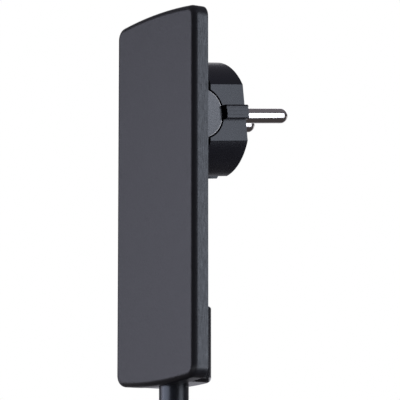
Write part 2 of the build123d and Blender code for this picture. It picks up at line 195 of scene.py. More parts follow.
class Shader(NodeTree):
    """One material's nodes round a Principled surface."""

    def __init__(self, name: str) -> None:
        """Start a material that has one Principled surface.

        Args:
            name: The material's name.
        """
        self.material = bpy.data.materials.new(name)
        super().__init__(self.material)
        self.surface = self.nodes["Principled BSDF"]

    def set(self, **values: object) -> None:
        """Set constants on the surface; an underscore in a name stands for a space."""
        for name, value in values.items():
            self.surface.inputs[name.replace("_", " ")].default_value = value

    def feed(self, socket: str, value: Socket) -> None:
        """Link a value to one of the surface's sockets."""
        self.join(value, self.surface, socket)

    def noise(self, size: float, detail: float, stretch: Point = (1, 1, 1)) -> Socket:
        """Cloudy noise on object coordinates.

        Args:
            size: Width of one cloud in metres.
            detail: How many finer layers lie on it.
            stretch: Factors by which the clouds are narrowed along each axis.

        Returns:
            The noise value, from 0 to 1.
        """
        turn = self.add("Mapping", {"Scale": stretch})
        self.join(self.add("TexCoord").outputs["Object"], turn, "Vector")
        clouds = self.add("TexNoise", {"Scale": 1 / size, "Detail": detail, "Roughness": NOISE_ROUGHNESS})
        self.join(turn.outputs["Vector"], clouds, "Vector")
        return clouds.outputs["Fac"]

    def about(self, noise: Socket, middle: float, change: float) -> Socket:
        """A number that a noise moves about a middle one.

        Args:
            noise: The noise.
            middle: The middle number.
            change: How far it moves either way.

        Returns:
            The number.
        """
        limits = {"To Min": middle - change, "To Max": middle + change}
        node = self.add("MapRange", {"From Min": NOISE_RANGE[0], "From Max": NOISE_RANGE[1], **limits})
        self.join(noise, node, "Value")
        return node.outputs["Result"]

    def ramp(self, value: Socket, stops: list[tuple[float, Colour]]) -> Socket:
        """Turn a value into a colour.

        Args:
            value: The value, from 0 to 1.
            stops: Places on that range and their colours.

        Returns:
            The colour.
        """
        node = self.add("ValToRGB")
        elements = node.color_ramp.elements
        while len(elements) < len(stops):
            elements.new(1.0)
        for element, (place, colour) in zip(elements, stops):
            element.position = place
            element.color = (*colour, 1.0)
        self.join(value, node, "Fac")
        return node.outputs["Color"]

    def tint(self, value: Socket, colour: Colour, factors: Span, places: Span = NOISE_RANGE) -> None:
        """Colour the surface by a value.

        Args:
            value: The value, from 0 to 1.
            colour: The middle colour.
            factors: By what the colour is multiplied at the low and at the high place.
            places: Those two places on the value's range.
        """
        stops = [(place, lighter(colour, factor)) for place, factor in zip(places, factors)]
        self.feed("Base Color", self.ramp(value, stops))

    def uv_parts(self) -> tuple[Socket, Socket]:
        """The piece's own u and v.

        Returns:
            The two as sockets.
        """
        parts = self.add("SeparateXYZ")
        self.join(self.add("TexCoord").outputs["UV"], parts, "Vector")
        return parts.outputs["X"], parts.outputs["Y"]

    def relief(self, height: Socket, depth: float) -> None:
        """Raise the surface.

        Args:
            height: The height, from 0 to 1.
            depth: What a height of 1 stands for, in metres.
        """
        node = self.add("Bump", {"Distance": depth, "Strength": 1.0})
        self.join(height, node, "Height")
        self.feed("Normal", node.outputs["Normal"])


@dataclass(frozen=True)
class MouldedPlastic:
    """Matte moulded plastic with a fine eroded grain; a line_change adds fine lines on its side walls."""

    name: str
    colour: Colour = (0.0085, 0.0086, 0.0105)
    gloss: float = 0.5
    roughness: float = 0.38
    roughness_change: float = 0.05
    grain: float = 0.45 * MM
    grain_depth: float = 0.012 * MM
    cloud: float = 9 * MM
    cloud_change: float = 0.12
    line: float = 0.28 * MM
    line_length: float = 3.5 * MM
    line_tilt_deg: float = PLATE_TILT_DEG
    line_change: float = 0.0
    wall_span: Span = (0.93, 0.995)  # how far a wall faces along Y where its lines set in

    def side_lines(self, shader: Shader) -> Socket:
        """Fine lines along the plate: noise drawn out along it, kept to the walls that face along Y.

        Args:
            shader: The material that they belong to.

        Returns:
            What they add to the roughness.
        """
        coordinates = shader.add("TexCoord").outputs
        along_plate = {"Rotation": (0.0, radians(self.line_tilt_deg), 0.0),
                       "Scale": (self.line, 1.0, self.line_length)}
        plate = shader.add("Mapping", along_plate, vector_type="TEXTURE")
        shader.join(coordinates["Object"], plate, "Vector")
        drawn = shader.add("TexNoise", {"Scale": 1.0, "Detail": 2.0, "Roughness": NOISE_ROUGHNESS})
        shader.join(plate.outputs["Vector"], drawn, "Vector")
        sideways = shader.math("ABSOLUTE", shader.along(coordinates["Normal"], (0.0, 1.0, 0.0)))
        wall = shader.smooth_step(sideways, self.wall_span, (0.0, 1.0))
        return shader.math("MULTIPLY", wall, shader.about(drawn.outputs["Fac"], 0.0, self.line_change))

    def build(self) -> bpy.types.Material:
        """Make the material: grain in the relief and the roughness, and faint clouds in the colour.

        Returns:
            The material.
        """
        shader = Shader(self.name)
        shader.set(Specular_IOR_Level=self.gloss)
        factors = (1 - self.cloud_change, 1 + self.cloud_change)
        shader.tint(shader.noise(self.cloud, 3.0), self.colour, factors)
        grain = shader.noise(self.grain, 3.0)
        roughness = shader.about(grain, self.roughness, self.roughness_change)
        if self.line_change:
            roughness = shader.math("ADD", roughness, self.side_lines(shader))
        shader.feed("Roughness", roughness)
        shader.relief(grain, self.grain_depth)
        return shader.material


@dataclass(frozen=True)
class PlatedMetal:
    """Bright plated metal with turning marks along one axis."""

    name: str
    colour: Colour
    roughness: float
    roughness_change: float = 0.012
    mark: float = 0.22 * MM
    mark_depth: float = 0.0003 * MM
    along: Point = (1.0, 0.06, 0.06)  # how much the marks are narrowed along each axis
    cloud: float = 4 * MM
    cloud_factors: Span = (0.94, 1.0)

    def build(self) -> bpy.types.Material:
        """Make the material: fine rings or lines from stretched noise, and faint clouds in the colour.

        Returns:
            The material.
        """
        shader = Shader(self.name)
        shader.set(Metallic=1.0)
        shader.tint(shader.noise(self.cloud, 3.0), self.colour, self.cloud_factors)
        marks = shader.noise(self.mark, 2.0, self.along)
        shader.feed("Roughness", shader.about(marks, self.roughness, self.roughness_change))
        shader.relief(marks, self.mark_depth)
        return shader.material


@dataclass(frozen=True)
class SoftSheath:
    """Smooth extruded plastic of a cord's sheath, with faint unevenness."""

    name: str
    colour: Colour = (0.0055, 0.0058, 0.007)
    gloss: float = 0.36
    roughness: float = 0.34
    roughness_change: float = 0.05
    wave: float = 6 * MM
    wave_depth: float = 0.02 * MM
    dust: float = 0.7 * MM
    dust_factors: Span = (1.0, 1.5)
    dust_places: Span = (0.35, 0.75)

    def build(self) -> bpy.types.Material:
        """Make the material: long soft waves in the relief, fine dust in the roughness and the colour.

        Returns:
            The material.
        """
        shader = Shader(self.name)
        shader.set(Specular_IOR_Level=self.gloss)
        dust = shader.noise(self.dust, 4.0)
        shader.tint(dust, self.colour, self.dust_factors, self.dust_places)
        shader.feed("Roughness", shader.about(dust, self.roughness, self.roughness_change))
        shader.relief(shader.noise(self.wave, 1.0), self.wave_depth)
        return shader.material


@dataclass(frozen=True)
class CoreInsulation:
    """Smooth insulation of one core, plain or with a stripe that winds round it."""

    name: str
    colour: Colour
    stripe: Colour | None = None
    turns_per_metre: float = 14.0
    roughness: float = 0.32
    roughness_change: float = 0.05
    cloud: float = 1.6 * MM
    cloud_depth: float = 0.008 * MM
    cloud_factors: Span = (0.88, 1.1)

    def stripes(self, shader: Shader) -> Socket:
        """Two colours that wind round the core: which one follows from u round it plus v along it.

        Args:
            shader: The material that they belong to.

        Returns:
            The colour.
        """
        u, v = shader.uv_parts()
        winding = shader.math("MULTIPLY", v, self.turns_per_metre)
        around = shader.math("FRACT", shader.math("ADD", u, winding))
        ground = [(0.0, self.colour), (0.49, self.colour)]
        band = [(0.51, self.stripe), (0.99, self.stripe)]
        return shader.ramp(around, [*ground, *band, (1.0, self.colour)])

    def build(self) -> bpy.types.Material:
        """Make the material: faint clouds vary the roughness, and the colour where there is no stripe.

        Returns:
            The material.
        """
        shader = Shader(self.name)
        clouds = shader.noise(self.cloud, 3.0)
        if self.stripe is None:
            shader.tint(clouds, self.colour, self.cloud_factors)
        else:
            shader.feed("Base Color", self.stripes(shader))
        shader.feed("Roughness", shader.about(clouds, self.roughness, self.roughness_change))
        shader.relief(clouds, self.cloud_depth)
        return shader.material


@dataclass(frozen=True)
class WovenStrap:
    """Narrow woven strap: threads that cross over and under each other."""

    name: str
    colour: Colour = (0.018, 0.018, 0.02)
    thread: float = 0.55 * MM
    thread_depth: float = 0.12 * MM
    # factors on the colour: painted shade in the weave's dips and a painted highlight on its crossings
    weave_shade_factors: Span = (0.55, 1.5)
    weave_shade_places: Span = (0.1, 0.9)
    roughness: float = 0.8
    sheen: float = 0.25

    def build(self) -> bpy.types.Material:
        """Make the material: its height is the product of two waves, one along u and one along v; the
        colour follows it, with painted shade in the dips and a painted highlight on the crossings.

        Returns:
            The material.
        """
        shader = Shader(self.name)
        shader.set(Roughness=self.roughness, Sheen_Weight=self.sheen)
        turn = pi / self.thread
        waves = [shader.math("SINE", shader.math("MULTIPLY", way, turn)) for way in shader.uv_parts()]
        weave = shader.math("MULTIPLY_ADD", shader.math("MULTIPLY", *waves), 0.5, 0.5)
        # Painted shade and highlight: the colour darkens where threads dip under and lightens where they
        # cross over.
        shader.tint(weave, self.colour, self.weave_shade_factors, self.weave_shade_places)
        shader.relief(weave, self.thread_depth)
        return shader.material


SHELL_PLASTIC = MouldedPlastic("shell_plastic", line_change=0.13)
COVER_PLASTIC = MouldedPlastic("cover_plastic", gloss=0.66, roughness=0.26, grain=0.4 * MM)
INSERT_PLASTIC = MouldedPlastic("insert_plastic", (0.0072, 0.0072, 0.0105), gloss=0.4, roughness=0.28,
                                grain=0.35 * MM, grain_depth=0.008 * MM)
PIN_NICKEL = PlatedMetal("pin_nickel", (0.70, 0.65, 0.60), 0.12)
STRIP_NICKEL = PlatedMetal("strip_nickel", (0.68, 0.66, 0.62), 0.22, along=(0.05, 1.0, 1.0))
SCREW_STEEL = PlatedMetal("screw_steel", (0.55, 0.55, 0.56), 0.32, mark=0.15 * MM, along=(0.1, 1.0, 0.1))
CORD_SHEATH = SoftSheath("cord_sheath")
CORE_BROWN = CoreInsulation("core_brown", (0.13, 0.048, 0.02))
CORE_BLUE = CoreInsulation("core_blue", (0.02, 0.12, 0.46))
CORE_GREEN = CoreInsulation("core_green", (0.32, 0.46, 0.04))
CORE_GREEN_YELLOW = CoreInsulation("core_green_yellow", (0.72, 0.56, 0.02), (0.03, 0.26, 0.05))
STRAP_WEAVE = WovenStrap("strap_weave")
FERRULE_TIN = PlatedMetal("ferrule_tin", (0.72, 0.71, 0.69), 0.3, mark=0.4 * MM, along=(1.0, 1.0, 0.3))


@dataclass
class Grid:
    """A surface as a grid of points: rows along it and columns round it, the last joined to the first."""

    points: np.ndarray
    u: np.ndarray
    v: np.ndarray

    def cells(self) -> tuple[np.ndarray, np.ndarray]:
        """The row and the column of each face's first corner; its others are on the next ones too."""
        rows, columns = self.points.shape[:2]
        return np.meshgrid(np.arange(rows - 1), np.arange(columns), indexing="ij")

    def quads(self) -> np.ndarray:
        """Corner numbers of each face, counted so that the faces look out.

        Returns:
            One row of four numbers for each face.
        """
        columns = self.points.shape[1]
        row, column = self.cells()
        beside, this, after = (column + 1) % columns, row * columns, (row + 1) * columns
        corners = [this + column, this + beside, after + beside, after + column]
        return np.stack(corners, axis=-1).reshape(-1, 4)

    def corner_uv(self) -> np.ndarray:
        """Each corner's u and v, where the last column's right edge takes the full u.

        Returns:
            One row of two numbers for each corner.
        """
        row, column = self.cells()
        left, right = self.u[column], self.u[column + 1]
        low, high = self.v[row], self.v[row + 1]
        corners = [(left, low), (right, low), (right, high), (left, high)]
        return np.stack([np.stack(corner, axis=-1) for corner in corners], axis=2).reshape(-1, 2)


def surface_mesh(name: str, grids: list[Grid], sharp_deg: float = 40.0) -> bpy.types.Mesh:
    """Put grids into one mesh, each with its UV map and a flat face on each end.

    Args:
        name: The mesh's name.
        grids: The surfaces.
        sharp_deg: Edges that turn by more than this stay sharp.

    Returns:
        The mesh, with smooth faces that point outwards.
    """
    points, loops, sizes, uvs, first = [], [], [], [], 0
    for grid in grids:
        rows, columns = grid.points.shape[:2]
        quads, ring = grid.quads(), np.arange(columns)
        caps = np.concatenate([ring[::-1], (rows - 1) * columns + ring])
        points.append(grid.points.reshape(-1, 3))
        loops += [quads.ravel() + first, caps + first]
        sizes += [np.full(len(quads), 4), np.full(2, columns)]
        uvs += [grid.corner_uv(), np.zeros((2 * columns, 2))]
        first += rows * columns
    corners, counts = np.concatenate(loops), np.concatenate(sizes)
    mesh = bpy.data.meshes.new(name)
    mesh.vertices.add(first)
    mesh.vertices.foreach_set("co", np.concatenate(points).astype(np.float32).ravel())
    mesh.loops.add(len(corners))
    mesh.loops.foreach_set("vertex_index", corners.astype(np.int32))
    mesh.polygons.add(len(counts))
    starts = np.concatenate([[0], np.cumsum(counts)[:-1]])
    mesh.polygons.foreach_set("loop_start", starts.astype(np.int32))
    uv_map = mesh.uv_layers.new(name="UVMap")
    uv_map.data.foreach_set("uv", np.concatenate(uvs).astype(np.float32).ravel())
    mesh.update(calc_edges=True)
    mesh.validate()
    mesh.polygons.foreach_set("use_smooth", np.ones(len(counts), dtype=bool))
    mesh.set_sharp_from_angle(angle=radians(sharp_deg))
    return mesh


def eased(share: np.ndarray) -> np.ndarray:
    """A smooth step from 0 to 1: three times the share's square less two times its cube."""
    return share * share * (3 - 2 * share)


def circle(count: int) -> np.ndarray:
    """Points round a circle of radius 1, as two columns."""
    angle = 2 * pi * np.arange(count) / count
    return np.stack([np.cos(angle), np.sin(angle)], axis=1)


def swept_grid(path: np.ndarray, sides: np.ndarray, ups: np.ndarray, profile: np.ndarray) -> Grid:
    """Carry a closed profile along a path.

    Each point is the path's point plus the profile's first measure along side and its second along up.

    Args:
        path: Points along the path, one row each.
        sides: The profile's first direction at each point.
        ups: Its second direction there, which with side and the path makes a right-hand set.
        profile: Its points as two columns, counted from side to up, or one such set for each path point.

    Returns:
        The surface, with u and v in metres along the profile and the path.
    """
    outline = profile if profile.ndim == 3 else np.broadcast_to(profile, (len(path), *profile.shape))
    points = path[:, None] + outline[..., :1] * sides[:, None] + outline[..., 1:] * ups[:, None]
    around = np.linalg.norm(np.diff(outline[0], axis=0, append=outline[0][:1]), axis=1)
    along = np.linalg.norm(np.diff(path, axis=0), axis=1)
    return Grid(points, np.concatenate([[0], np.cumsum(around)]), np.concatenate([[0], np.cumsum(along)]))


def upright_grid(path: np.ndarray, profile: np.ndarray) -> Grid:
    """Carry a closed profile down a path that is nearly upright, with every section level.

    Args:
        path: Points along the path, from the top down.
        profile: The profile's points in X and -Y, as swept_grid takes them.

    Returns:
        The surface.
    """
    sides = np.broadcast_to([1.0, 0.0, 0.0], path.shape)
    ups = np.broadcast_to([0.0, -1.0, 0.0], path.shape)
    return swept_grid(path, sides, ups, profile)


def place_piece(data: bpy.types.ID, finish: bpy.types.Material) -> bpy.types.Object:
    """Put a new piece of the lever into the scene.

    Args:
        data: Its mesh or curve, already in the part's frame, whose name it takes.
        finish: Its material.

    Returns:
        The piece.
    """
    data.materials.append(finish)
    piece = bpy.data.objects.new(data.name, data)
    bpy.context.scene.collection.objects.link(piece)
    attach(piece, LEVER)
    return piece


def dress(nodes: tuple[str, ...], finish: bpy.types.Material) -> None:
    """Give CAD nodes a finish and report each.

    Args:
        nodes: The nodes' names.
        finish: Their material.
    """
    for node in nodes:
        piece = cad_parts[node]
        if not piece.material_slots:
            piece.data.materials.append(finish)
        for slot in piece.material_slots:
            slot.material = finish
        log.info("%s: %s", node, finish.name)


@dataclass
class PhotoCamera:
    """The camera at the photograph's viewing angle."""

    place: Point = (-0.49109, -0.72230, -0.11476)
    heading_deg: float = 33.615
    pitch_deg: float = 5.864
    roll_deg: float = 5.058
    lens_mm: float = 245.5
    sensor_mm: float = 36.0

    def axes(self) -> tuple[Vector, Vector, Vector]:
        """The camera's right, up and forward directions.

        Returns:
            Forward is turned by the heading from +Y towards +X and raised by the pitch; right and up are
            then rolled clockwise about it.
        """
        heading, pitch, roll = radians(self.heading_deg), radians(self.pitch_deg), radians(self.roll_deg)
        forward = Vector((sin(heading) * cos(pitch), cos(heading) * cos(pitch), sin(pitch)))
        level = Vector((cos(heading), -sin(heading), 0))
        upright = level.cross(forward)
        right = level * cos(roll) - upright * sin(roll)
        return right, right.cross(forward), forward

    def build(self) -> None:
        """Make the camera and look through it."""
        data = bpy.data.cameras.new("photo_camera")
        data.lens = self.lens_mm
        data.sensor_width = self.sensor_mm
        camera = bpy.data.objects.new("photo_camera", data)
        right, up, forward = self.axes()
        turn = Matrix((right, up, -forward)).transposed()
        camera.matrix_world = Matrix.Translation(self.place) @ turn.to_4x4()
        bpy.context.scene.collection.objects.link(camera)
        bpy.context.scene.camera = camera


class Reach(Enum):
    """Which pieces a lamp lights: the ones that it lists, or all but those."""

    ONLY = "INCLUDE"
    ALL_BUT = "EXCLUDE"


PLUG_MIDDLE: Point = (0.0, 0.0, -0.03)
COOL_WHITE: Colour = (0.9, 0.92, 1.0)
HOUSING_PIECES = ("front_shell", "rear_cover", "insert_body", "insert_rear_cap")
BACK_PIECES = (*HOUSING_PIECES, "cover_screws", "earth_bracket")
FAR_PIECES = ("rear_cover", "insert_body", "insert_rear_cap", "live_pin", "neutral_pin")


@dataclass(frozen=True)
class SoftBox:
    """A flat rectangular lamp that faces the plug."""

    name: str
    place: Point
    aim: Point
    width: float
    height: float
    radiance: float
    colour: Colour
    reach: Reach
    pieces: tuple[str, ...]

    def receivers(self) -> bpy.types.Collection:
        """The pieces that the lamp lights, or that it passes over.

        Returns:
            A collection of them, for the lamp's light linking.
        """
        listed = bpy.data.collections.new(self.name + "_pieces")
        for piece in self.pieces:
            listed.objects.link(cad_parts.get(piece) or bpy.data.objects[piece])
        for entry in listed.collection_objects:
            entry.light_linking.link_state = self.reach.value
        return listed

    def build(self) -> None:
        """Make the lamp; its power is pi times its area times its radiance."""
        data = bpy.data.lights.new(self.name, "AREA")
        data.shape = "RECTANGLE"
        data.size, data.size_y = self.width, self.height
        data.energy = pi * self.width * self.height * self.radiance
        data.color = self.colour
        lamp = bpy.data.objects.new(self.name, data)
        lamp.location = self.place
        lamp.rotation_euler = (Vector(self.aim) - Vector(self.place)).to_track_quat("-Z", "Y").to_euler()
        lamp.visible_camera = False
        if self.pieces:
            lamp.light_linking.receiver_collection = self.receivers()
        bpy.context.scene.collection.objects.link(lamp)


@dataclass
class Studio:
    """White surroundings, a pale floor and soft boxes."""

    ahead: Point = (0.554, 0.832, 0.0)  # where the camera heads, on the level
    room_tint: Colour = (0.86, 0.84, 1.0)
    room_levels: Span = (0.09, 0.20)  # the room's light from the sides and from overhead
    ceiling_span: Span = (0.3, 0.65)
    backdrop_span: Span = (0.80, 0.97)  # how far ahead a direction points where the white sets in
    backdrop_share: float = 0.8
    floor_drop: float = 4 * MM
    floor_half: float = 4.0
    floor_colour: Colour = (0.42, 0.42, 0.42)
    floor_roughness: float = 0.9
    floor_mottle: float = 0.25
    floor_factors: Span = (0.97, 1.0)
    floor_glow: Span = (0.5, 1.0)  # its own light nearby and far off
    floor_fade: Span = (0.35, 2.0)  # over these distances
    floor_near: Colour = (0.068, 0.062, 0.068)  # its painted glow to reflections and bounce light, nearby
    floor_far: Colour = (0.65, 0.65, 0.72)  # and ahead
    floor_span: Span = (0.45, 0.92)  # over these distances
    boxes: tuple[SoftBox, ...] = (
        # The photograph's own light: the front, the side with the flats, the ears, the top edges, the cord.
        SoftBox("left_box", (-0.445, 0.475, 0.06), (-0.02, 0.0, -0.02), 0.32, 0.46, 2.28,
                (0.82, 0.83, 1.0), Reach.ALL_BUT, ("floor",)),
        SoftBox("right_box", (0.166, -0.385, -0.05), (0.0, -0.01, -0.03), 0.25, 0.54, 3.6,
                (0.79, 0.86, 1.0), Reach.ALL_BUT, ("floor", "rear_cover")),
        SoftBox("ear_box", (0.166, -0.385, 0.12), (-0.018, -0.016, 0.0), 0.25, 0.22, 4.3,
                (0.80, 0.86, 1.0), Reach.ONLY, ("rear_cover",)),
        SoftBox("back_box", (0.76, 0.56, 0.33), (0.0, 0.0, -0.05), 0.5, 0.34, 1.5,
                (0.88, 0.88, 1.0), Reach.ALL_BUT, ()),
        SoftBox("cord_box", (-0.50, 0.09, 0.03), (-0.03, 0.0, -0.09), 0.6, 0.3, 5.4,
                (0.69, 0.77, 1.0), Reach.ONLY, ("mains_cord",)),
        # Low lamps for the sides that the photograph doesn't show.
        SoftBox("rear_box", (0.45, 0.08, -0.235), PLUG_MIDDLE, 0.4, 0.2, 2.2,
                COOL_WHITE, Reach.ONLY, BACK_PIECES),
        SoftBox("far_box", (-0.12, 0.5, -0.16), PLUG_MIDDLE, 0.5, 0.3, 1.2,
                COOL_WHITE, Reach.ONLY, FAR_PIECES),
        SoftBox("side_box", (0.02, -0.45, -0.235), PLUG_MIDDLE, 0.6, 0.2, 0.9,
                COOL_WHITE, Reach.ONLY, HOUSING_PIECES),
        SoftBox("low_box", (-0.41, -0.19, -0.238), PLUG_MIDDLE, 0.6, 0.2, 0.7,
                COOL_WHITE, Reach.ONLY, ("front_shell",)),
        # The ears' rounded edges alone, and the floor alone.
        SoftBox("edge_box", (0.379, -0.228, 0.0), (-0.018, -0.0164, 0.0), 0.16, 0.5, 12.0,
                COOL_WHITE, Reach.ONLY, ("ear_edges",)),
        SoftBox("floor_box", (0.1, -0.1, 0.9), (0.0, 0.0, -0.3), 0.7, 0.7, 5.0,
                (1.0, 1.0, 1.0), Reach.ONLY, ("floor",)),
    )

    def build_world(self) -> None:
        """White for the camera and, ahead of it, for gloss; elsewhere a dim room with a pale ceiling."""
        world = bpy.data.worlds.new("studio")
        bpy.context.scene.world = world
        tree = NodeTree(world)
        direction = tree.add("TexCoord").outputs["Generated"]
        room = tree.nodes["Background"]
        room.inputs["Color"].default_value = (*self.room_tint, 1.0)
        height = tree.along(direction, (0.0, 0.0, 1.0))
        tree.join(tree.smooth_step(height, self.ceiling_span, self.room_levels), room, "Strength")
        ahead = tree.along(direction, self.ahead)
        backdrop = tree.smooth_step(ahead, self.backdrop_span, (0.0, self.backdrop_share))
        ray = tree.add("LightPath").outputs
        mirrored = tree.math("MAXIMUM", ray["Is Glossy Ray"], ray["Is Transmission Ray"])
        seen = tree.math("MAXIMUM", ray["Is Camera Ray"], tree.math("MULTIPLY", mirrored, backdrop))
        white = tree.add("Background", {"Color": (1.0, 1.0, 1.0, 1.0)})
        tree.choose(seen, room.outputs["Background"], white.outputs["Background"], "World Output")

    def floor_finish(self) -> bpy.types.Material:
        """Pale to the camera, with the object's shadow, and white far off; to other rays a dimmer painted
        glow in place of its lit colour.

        Returns:
            The floor's material.
        """
        shader = Shader("floor")
        shader.tint(shader.noise(self.floor_mottle, 4.0), self.floor_colour, self.floor_factors)
        shader.set(Roughness=self.floor_roughness, Emission_Color=(1.0, 1.0, 1.0, 1.0))
        place = shader.add("TexCoord").outputs["Object"]
        away = shader.add("VectorMath", operation="LENGTH")
        shader.join(place, away, 0)
        glow = shader.smooth_step(away.outputs["Value"], self.floor_fade, self.floor_glow)
        shader.feed("Emission Strength", glow)
        reach = shader.smooth_step(shader.along(place, self.ahead), self.floor_span, (0.0, 1.0))
        # Painted bounce light and reflection: a fixed glow, dim nearby and bright ahead, in place of the
        # lit floor.
        painted_bounce = shader.add("Emission")
        shader.join(shader.ramp(reach, [(0.0, self.floor_near), (1.0, self.floor_far)]), painted_bounce, "Color")
        seen = shader.add("LightPath").outputs["Is Camera Ray"]
        shader.choose(seen, painted_bounce.outputs["Emission"], shader.surface.outputs["BSDF"], "Material Output")
        return shader.material

    def build(self) -> None:
        """Make the world, the floor below the lowest piece and the lamps."""
        self.build_world()
        half, level = self.floor_half, cad_low.z - self.floor_drop
        corners = [(-half, -half, level), (half, -half, level), (half, half, level), (-half, half, level)]
        mesh = bpy.data.meshes.new("floor")
        mesh.from_pydata(corners, [], [(0, 1, 2, 3)])
        mesh.materials.append(self.floor_finish())
        floor = bpy.data.objects.new("floor", mesh)
        bpy.context.scene.collection.objects.link(floor)
        for box in self.boxes:
            box.build()
        bpy.context.scene.view_settings.view_transform = "Standard"


@dataclass(frozen=True)
class Hank:
    """Sizes of the put-away cord, which the cord itself, its straps and its stripped end share."""

    start: Point = (-45.4 * MM, 28.2 * MM, -192 * MM)
    diameter: float = 9.4 * MM
    pitch: float = 9.6 * MM
    run: float = 115 * MM
    loops: int = 3
    short_of_fold: float = 8 * MM

    def end(self) -> Point:
        """Where the sheath ends: on the last strand, short of where one more fold would start."""
        x, y, z = self.start
        return x + self.loops * self.pitch, y, z - self.run + self.short_of_fold


HANK = Hank()


@dataclass
class StrippedEnd:
    """The cord's far end: three cores out of the sheath, each with a crimped sleeve."""

    sheath_end: Point = HANK.end()
    core_length: float = 28 * MM
    sleeve_length: float = 9 * MM
    core_diameter: float = 2.9 * MM
    gathered: float = 1.8 * MM  # from the cord's middle to a core, in the sheath
    apart: float = 2.2 * MM  # and at the sleeve
    first_core_deg: float = 90.0
    twist_deg: float = 75.0
    inside: float = 2 * MM
    collar_radius: float = 1.7 * MM
    collar_length: float = 2.4 * MM
    # The collar's profile: depths in collar lengths and, at all but the last, widths in collar radii.
    collar_depths: tuple[float, ...] = (0, 0.02, 0.7, 1.0, 1.3, 1.6)
    collar_widths: tuple[float, ...] = (0.86, 1.0, 1.0, 0.86, 0.66)
    sleeve_radius: float = 1.0 * MM
    crimp_share: float = 0.16
    core_rows: int = 48
    collar_rows: int = 20
    sleeve_rows: int = 28
    columns: int = 24

    def core_path(self, core: Core) -> np.ndarray:
        """A core's line: on its way down it unwinds about the cord's middle and moves out by a smooth step.

        Args:
            core: Which core.

        Returns:
            Points along it, from inside the sheath to the sleeve.
        """
        x, y, z = self.sheath_end
        height = np.linspace(z + self.inside, z - self.core_length, self.core_rows)
        ease = eased((height[0] - height) / (height[0] - height[-1]))
        radius = self.gathered + (self.apart - self.gathered) * ease
        turn = 360 / len(Core) * core.value - self.twist_deg * (1 - ease)
        angle = np.radians(self.first_core_deg + turn)
        return np.stack([x + radius * np.cos(angle), y + radius * np.sin(angle), height], axis=1)

    def core_grid(self, core: Core) -> Grid:
        """A round tube along a core's line, whose u goes from 0 to 1 round it.

        Args:
            core: Which core.

        Returns:
            The surface.
        """
        grid = upright_grid(self.core_path(core), circle(self.columns) * self.core_diameter / 2)
        grid.u = np.linspace(0, 1, self.columns + 1)
        return grid

    def sleeve_grid(self, core: Core) -> Grid:
        """A crimped sleeve: a radius over the height, squared off by a wave of four lobes where crimped.

        Args:
            core: The core whose end it is on.

        Returns:
            The surface, from the collar's mouth down to the tip.
        """
        stops = np.array(self.collar_depths) * self.collar_length
        wall = np.array([*self.collar_widths, self.sleeve_radius / self.collar_radius]) * self.collar_radius
        start = stops[-1]
        collar = np.linspace(0, start, self.collar_rows)
        sleeve = np.linspace(start, self.sleeve_length, self.sleeve_rows)
        depth = np.concatenate([collar, sleeve[1:]])
        radius = np.interp(depth, stops, wall)
        share = np.clip((depth - start) / (self.sleeve_length - start), 0, 1)
        crimp = np.clip(np.sin(pi * share) * 2, 0, 1)
        angle = np.arctan2(*circle(self.columns).T[::-1])
        lobes = 1 + self.crimp_share * crimp[:, None] * (np.cos(4 * angle)[None] - 1) / 2
        profile = circle(self.columns)[None] * (radius[:, None] * lobes)[..., None]
        path = self.core_path(core)[-1] - depth[:, None] * np.array([0.0, 0.0, 1.0])
        return upright_grid(path, profile)

    def build(self) -> list[bpy.types.Object]:
        """Make the cores and their sleeves.

        Returns:
            The new pieces.
        """
        looks = {
            Core.LIVE: (Slot.CORE_BROWN, CORE_BROWN, "live_core_end"),
            Core.NEUTRAL: (Slot.CORE_BLUE, CORE_BLUE, "neutral_core_end"),
            Core.EARTH: (Slot.CORE_GREEN_YELLOW, CORE_GREEN_YELLOW, "earth_core_end"),
        }
        pieces = []
        for core, (slot, finish, node) in looks.items():
            mesh = surface_mesh(f"{core.name.lower()}_core", [self.core_grid(core)])
            pieces.append(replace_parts(place_piece(mesh, finish.build()), node))
        mesh = surface_mesh("core_sleeves", [self.sleeve_grid(core) for core in Core])
        sleeves = place_piece(mesh, FERRULE_TIN.build())
        pieces.append(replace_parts(sleeves, "core_ferrules"))
        return pieces


